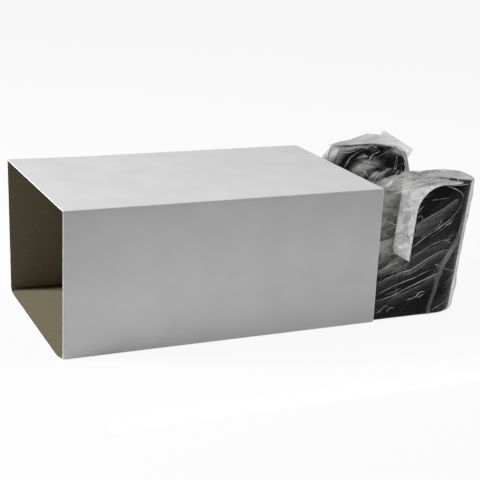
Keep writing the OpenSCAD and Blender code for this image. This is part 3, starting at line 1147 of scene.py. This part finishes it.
# Creases where the film spans the cut-out, in darker film: painted shadow lines beside the cleared creases
SPAN_PLEATS = [
    (0.7, [(144, 90.4), (148, 89), (155, 89.4), (160, 91), (163, 92.6)]),
    (0.6, [(147.5, 74.4), (153.5, 77.6), (160, 83.6)]),
    (0.6, [(143.5, 64.6), (149, 68.8), (156.5, 71)]),
    (0.6, [(146, 73.4), (150.5, 67.4), (157, 61.8)]),
    (0.6, [(146, 98), (150, 96), (157, 98.5)]),
]
# Gathers on the closed end, with places from its middle and their heights
GATHERS = [
    (3.2, [(43, 84), (45.2, 89.5), (48.3, 94.8), (53.5, 98.6), (58, 102)]),
    (1.2, [(41.5, 86), (43.6, 92), (47.5, 98), (53, 103), (59, 106)]),
    (0.7, [(46.5, 86), (48.5, 91), (52.5, 95.5), (58, 99)]),
]
# Rear film, with places along it as along the front
REAR_PLEATS = [(0.9, [(161, 108.5), (159.4, 102.5), (158.3, 95)])]
# Top sheet, in x and y
TOP_PLEATS = [
    (0.7, [(153, -15), (173, 1.5), (213, 48)]),
    (0.6, [(156, -18), (178, 4), (213, 46)]),
    (0.6, [(159, -32), (177, -12), (215, 42)]),
    (0.5, [(155.5, 57), (167, 52.5), (182.5, 60)]),
    (0.5, [(156, 61), (166.5, 62), (180.5, 67)]),
    (0.6, [(153, 27), (160, 22), (172, 30), (185, 45), (195, 52)]),
    # A painted glint
    (1.8, [(172, 26), (176, 30)]),
    (0.4, [(152, 34), (161, 40), (173, 50), (183, 56)]),
    (0.6, [(155, 21), (159, 12.5), (156, -3)]),
    (0.6, [(197, 63), (198, 58)]),
    (0.6, [(191, 48.5), (199, 53.5)]),
    (1.0, [(127, -73), (146, -70), (168, -64), (195, -57)]),
    (0.8, [(137, -54), (167, -52), (197, -49)]),
    (0.7, [(216, -12), (199, -36)]),
    (0.7, [(186, -70), (194, -60), (199, -56)]),
    (0.8, [(150, -62), (160, -60), (178, -46), (186, -44)]),
    (0.6, [(190, -30), (196, -36), (196, -48)]),
    (0.7, [(202, -66), (207, -56)]),
    (0.7, [(140, -40), (156, -36), (171, -26)]),
    (0.6, [(160, -30), (176, -34), (188, -24), (206, -18)]),
]
# A broad grey facet over the front post, a painted sheen
GREY_FACETS = [(11, [(158, 69), (178, 80), (194, 90)])]
# Creases over the closed end, in y and z
END_PLEATS = [
    (0.5, [(-46, 20), (-38, 34), (-26, 40)]),
    (0.5, [(-47, 64), (-41, 55), (-34, 44)]),
    (0.5, [(47, 25), (40, 33), (28, 36)]),
    (0.5, [(46, 70), (43, 58), (34, 46)]),
    (0.4, [(-32, 12), (0, 9), (36, 13)]),
    (0.5, [(-20, 60), (4, 48), (24, 30)]),
    (0.4, [(-25, 84), (-10, 66), (2, 50)]),
]
# The rear repeats the front's long folds, a little further along and flatter
REAR_SHIFT = 3
REAR_SLOPE = 0.9
REAR_RISE = 6
# The folded strip's widths at its foot and its top, and its places
STRIP_WIDTHS = (3.0, 6.4)
STRIP_PATH = [(186.5, 1.5), (186.5, 12.5), (189.5, 26), (191.5, 34.5), (194, 43), (197.5, 49.5), (201, 56.5),
              (204.5, 63.5), (207, 72), (208, 83)]
# Fine creases beside some of the long folds: how far above or below, and along which share of the fold
HAIRLINE_FOLDS = (1, 3, 5, 6)
HAIRLINE_WIDTH = 0.26
HAIRLINE_SAMPLE = 2
HAIRLINE_STRIDE = 4
HAIRLINE_STEPS = ((-3.4, 0.35, 0.8), (2.6, 0.15, 0.5))
PLEAT_STEP = 1.2 * MM
PLEAT_LIFT = 0.12 * MM
PLEAT_WANDER = 6 * MM
PLEAT_VARIETY = 0.8
PLEAT_TIP = 0.05
RIDGE_RISE = 2.5
NORMAL_STEP = 0.3 * MM
# Haze of the doubled film in each piece; the pleats' haze is also their painted glint, the creases' darker
# film a painted shadow line and the grey facet's haze a painted sheen
PLEAT_HAZE_AND_GLINT = 1.25
GATHER_HAZE = 0.85
CREASE_SHADOW_HAZE = 0.36
STRIP_HAZE = 0.48
GREY_SHEEN_HAZE = 0.3


def smooth_path(points, step):
    """A curve through points, with samples about a step apart."""
    points = np.array(points, float)
    padded = np.concatenate([[2 * points[0] - points[1]], points, [2 * points[-1] - points[-2]]])
    samples = []
    for a, b, c, d in zip(padded, padded[1:], padded[2:], padded[3:]):
        count = max(2, int(np.linalg.norm(c - b) / step))
        square, cube = 2 * a - 5 * b + 4 * c - d, 3 * b - a - 3 * c + d
        for t in np.arange(count) / count:
            samples.append(0.5 * (2 * b + (c - a) * t + square * t**2 + cube * t**3))
    samples.append(points[-1])
    return np.array(samples)


def ribbon(centres, normals, width, taper=True):
    """A narrow tent of film along a line: two edges and a raised ridge. Two widths are for its two ends."""
    across = np.cross(np.gradient(centres, axis=0), normals)
    across /= np.linalg.norm(across, axis=1)[:, None] + 1e-12
    swell = np.ones(len(centres))
    if taper:
        swell = np.sin(np.linspace(0, 1, len(centres)) * math.pi) ** 0.5
        swell = swell * [1 + PLEAT_VARIETY * noise.noise(Vector(c) / PLEAT_WANDER) for c in centres]
    swell = np.maximum(swell, PLEAT_TIP)
    start, end = np.broadcast_to(width, 2) * MM
    half = across * (np.linspace(start, end, len(centres)) / 2 * swell)[:, None]
    ridge = centres + normals * (PLEAT_LIFT * RIDGE_RISE * swell)[:, None]
    lift = normals * PLEAT_LIFT
    return np.stack([centres - half + lift, ridge, centres + half + lift], axis=1)


def side_ribbon(path, width, taper=True, behind=False):
    """A ribbon on the front or rear film, from places along it and heights in millimetres."""
    u, z = smooth_path(np.array(path) * MM, PLEAT_STEP).T
    rear = np.full(len(u), behind)
    along = film_side(u + NORMAL_STEP, z, 0, rear) - film_side(u - NORMAL_STEP, z, 0, rear)
    upward = film_side(u, z + NORMAL_STEP, 0, rear) - film_side(u, z - NORMAL_STEP, 0, rear)
    normals = unit(np.cross(along, upward) * (-1 if behind else 1))
    return ribbon(film_side(u, z, 0, rear), normals, width, taper)


def top_ribbon(sheet, path, width):
    """A ribbon on the top sheet, from places in x and y in millimetres."""
    places = smooth_path(np.array(path) * MM, PLEAT_STEP)
    centres = np.array([(x, y, sheet_height(sheet, x, y)) for x, y in places])
    return ribbon(centres, np.tile((0, 0, 1.0), (len(centres), 1)), width)


def end_places(path):
    """Places on the closed end, given from its middle, as places along the rear film's plan."""
    half, corner = end_half / MM, FILM_CORNER / MM
    places = []
    for y, z in path:
        bend = corner * math.asin(min((y - half) / corner, 1)) if y > half else 0
        places.append((end_middle / MM - min(y, half) - bend, z))
    return places


def across_end(path):
    """Places on the flat of the closed end, in y and z, as places along the film's plan from the front."""
    return [(end_middle / MM + y, z) for y, z in path]


def rear_fold(path):
    return [(u + REAR_SHIFT, REAR_SLOPE * z + REAR_RISE) for u, z in path]


def hairlines():
    """Fine creases that run beside the long folds, above and below them for a part of their length."""
    paths = []
    for fold in HAIRLINE_FOLDS:
        places = smooth_path(FRONT_PLEATS[fold][1], HAIRLINE_SAMPLE)
        for step, start, end in HAIRLINE_STEPS:
            part = places[int(start * len(places)):int(end * len(places)):HAIRLINE_STRIDE]
            if len(part) > 2:
                paths.append([(u, z + step) for u, z in part])
    return paths


def ribbons_piece(name, ribbons, material):
    points, faces = [], []
    for strip in ribbons:
        faces += grid_faces(strip.shape[0], strip.shape[1], len(points))
        points += list(strip.reshape(-1, 3))
    piece = new_object(name, points, faces, [material])
    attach(piece, "bag")


def bag_folds(top_sheet):
    """The pleats, gathers, creases, folded strip and grey facets of the bag, with painted glints on the
    pleats, painted shadow lines on the creases and painted sheen on the grey facet.
    """
    pleats = [side_ribbon(path, width) for width, path in FRONT_PLEATS + FRONT_GLINTS]
    pleats += [side_ribbon(path, HAIRLINE_WIDTH) for path in hairlines()]
    pleats += [side_ribbon(path, width, behind=True) for width, path in REAR_PLEATS]
    pleats += [side_ribbon(rear_fold(path), width, behind=True) for width, path in FRONT_PLEATS[1:-1]]
    pleats += [side_ribbon(across_end(path), width) for width, path in END_PLEATS]
    pleats += [top_ribbon(top_sheet, path, width) for width, path in TOP_PLEATS]
    ribbons_piece("bag_pleats_and_glints", pleats, doubled_film("pleated_glint_film", PLEAT_HAZE_AND_GLINT))
    gathers = [side_ribbon(end_places(path), width, behind=True) for width, path in GATHERS]
    ribbons_piece("bag_gathers", gathers, doubled_film("gathered_film", GATHER_HAZE))
    creases = [side_ribbon(path, width) for width, path in SPAN_PLEATS]
    ribbons_piece("bag_creases_shaded", creases, doubled_film("crease_shadow_film", CREASE_SHADOW_HAZE))
    strip = [side_ribbon(STRIP_PATH, STRIP_WIDTHS, taper=False)]
    ribbons_piece("bag_folded_strip", strip, doubled_film("folded_film", STRIP_HAZE, STRIP_GRAIN))
    facets = [side_ribbon(path, width) for width, path in GREY_FACETS]
    ribbons_piece("bag_sheen_facets", facets, doubled_film("facet_sheen_film", GREY_SHEEN_HAZE, STRIP_GRAIN))


# Ear: the bag's spare corner, standing up behind the rear right post

EAR_TOP = [(158, 75.1, 108.8), (161.2, 75.1, 109.4), (170.3, 75.1, 111.9), (179.6, 75.1, 112.8),
           (196.7, 75.1, 117.9), (203.6, 75.1, 117), (208.9, 74.4, 116.4), (211.6, 71.4, 121),
           (221.5, 61.2, 114), (227, 44, 108.6)]
EAR_BASE = [(158, 75.1, 108.7), (180, 75.1, 107), (197.5, 75.1, 106.5), (207, 73.4, 106), (213.5, 69.9, 105),
            (220.5, 61.5, 103), (224.6, 48.5, 100.3)]
EAR_COLUMNS = 72
EAR_ROWS = 14
EAR_CREASE = 1.1 * MM
EAR_SEED = 9.0
# How the ear's creases are drawn out in y and pressed together in z
EAR_DRAWN_Y = 0.5
EAR_PRESSED_Z = 1.4
EAR_LIMIT_Y = 75.8 * MM


def along_points(points, count):
    """Places at even steps along straight stretches between points."""
    points = np.array(points) * MM
    reach = np.concatenate([[0], np.cumsum(np.linalg.norm(np.diff(points, axis=0), axis=1))])
    at = np.linspace(0, reach[-1], count)
    return np.stack([np.interp(at, reach, points[:, i]) for i in range(3)], axis=1)


def bag_ear():
    top, base = along_points(EAR_TOP, EAR_COLUMNS), along_points(EAR_BASE, EAR_COLUMNS)
    sheet = base[None] + (top - base)[None] * np.linspace(0, 1, EAR_ROWS)[:, None, None]
    out = np.stack([base[:, 0] - flat_end_x, base[:, 1] - end_half, np.zeros(EAR_COLUMNS)], axis=1)
    out[base[:, 0] < flat_end_x] = (0, 1, 0)
    x, y, z = (sheet[..., i].ravel() for i in range(3))
    creases = np.abs(crumple(x, y * EAR_DRAWN_Y, z * EAR_PRESSED_Z, EAR_SEED))
    push = creases * EAR_CREASE * (z > body_high.z)
    sheet += unit(out)[None] * push.reshape(EAR_ROWS, EAR_COLUMNS)[..., None]
    sheet[..., 1] = np.minimum(sheet[..., 1], EAR_LIMIT_Y)
    ear = new_object("bag_ear", sheet.reshape(-1, 3), grid_faces(EAR_ROWS, EAR_COLUMNS), [ear_film()])
    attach(ear, "bag")
    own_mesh(ear)


# Light, floor and camera, at the photograph's viewing angle

WORLD_LIGHT = 0.015
# Lamps: name, place, target, size and power
LAMPS = [
    ("overhead", (0.44, 0.2, 1.1), (0.16, 0.1, 0), (1.0, 0.6), 4.6),
    ("front_bounce", (0.14, -0.16, 0.42), (0.14, -0.34, 0), (0.6, 0.12), 0.22),
    ("front_card", (0.12, -0.2, 0.015), (0.12, -0.08, 0.02), (0.5, 0.03), 0.072),
    ("left_window", (-1.2, 0.3, 0.62), (-0.12, 0, 0), (0.3, 0.4), 23),
]
STAGE_HALF = 6
STAGE_GAP = 0.2 * MM
CAMERA_TARGET = Vector((42.7 * MM, 0, 53.1 * MM))
CAMERA_DISTANCE = 1.0079
CAMERA_AZIMUTH = math.radians(-24.6)
CAMERA_ELEVATION = math.radians(16.985)
CAMERA_ROLL = math.radians(2.77)
CAMERA_LENS = 93.7
CAMERA_SENSOR = 36


def area_light(name, place, target, size, power):
    light = bpy.data.lights.new(name, "AREA")
    light.shape = "RECTANGLE"
    light.size, light.size_y = size
    light.energy = power
    lamp = bpy.data.objects.new(name, light)
    lamp.location = place
    lamp.rotation_euler = (Vector(target) - Vector(place)).to_track_quat("-Z", "Y").to_euler()
    bpy.context.scene.collection.objects.link(lamp)


def studio():
    corners = [(-1, -1), (1, -1), (1, 1), (-1, 1)]
    points = [(x * STAGE_HALF, y * STAGE_HALF, sleeve_low.z - STAGE_GAP) for x, y in corners]
    floor = new_object("floor", points, [(0, 1, 2, 3)], [studio_floor()])
    world = bpy.data.worlds.new("studio")
    world.use_nodes = True
    background = world.node_tree.nodes["Background"]
    background.inputs["Color"].default_value = (1, 1, 1, 1)
    background.inputs["Strength"].default_value = WORLD_LIGHT
    bpy.context.scene.world = world
    for lamp in LAMPS:
        area_light(*lamp)


def photo_camera():
    camera = bpy.data.cameras.new("photo_camera")
    camera.lens = CAMERA_LENS
    camera.sensor_width = CAMERA_SENSOR
    camera.sensor_fit = "HORIZONTAL"
    level = math.cos(CAMERA_ELEVATION)
    back = Vector((
        math.sin(CAMERA_AZIMUTH) * level, -math.cos(CAMERA_AZIMUTH) * level, math.sin(CAMERA_ELEVATION)
    ))
    right = (-back).cross(Vector((0, 0, 1))).normalized()
    up = back.cross(right)
    turned_right = math.cos(CAMERA_ROLL) * right + math.sin(CAMERA_ROLL) * up
    turned_up = -math.sin(CAMERA_ROLL) * right + math.cos(CAMERA_ROLL) * up
    matrix = Matrix((turned_right, turned_up, back)).transposed().to_4x4()
    matrix.translation = CAMERA_TARGET + CAMERA_DISTANCE * back
    viewer = bpy.data.objects.new("photo_camera", camera)
    viewer.matrix_world = matrix
    bpy.context.scene.collection.objects.link(viewer)
    bpy.context.scene.camera = viewer


def main():
    bpy.context.scene.view_settings.view_transform = "Standard"
    photo_camera()
    studio()
    sleeve = carton_sleeve()
    glued_lap(sleeve.data.materials[RAW])
    plastic = black_plastic()
    caddy_body(plastic)
    guide_ribs(plastic)
    divider("left_divider", "left_partition", plastic)
    divider("right_divider", "right_partition", plastic)
    rubber = pad_rubber()
    for name in FEET:
        pad(name, rubber)
    top_sheet = film_bag()
    bag_ear()
    bag_folds(top_sheet)


main()
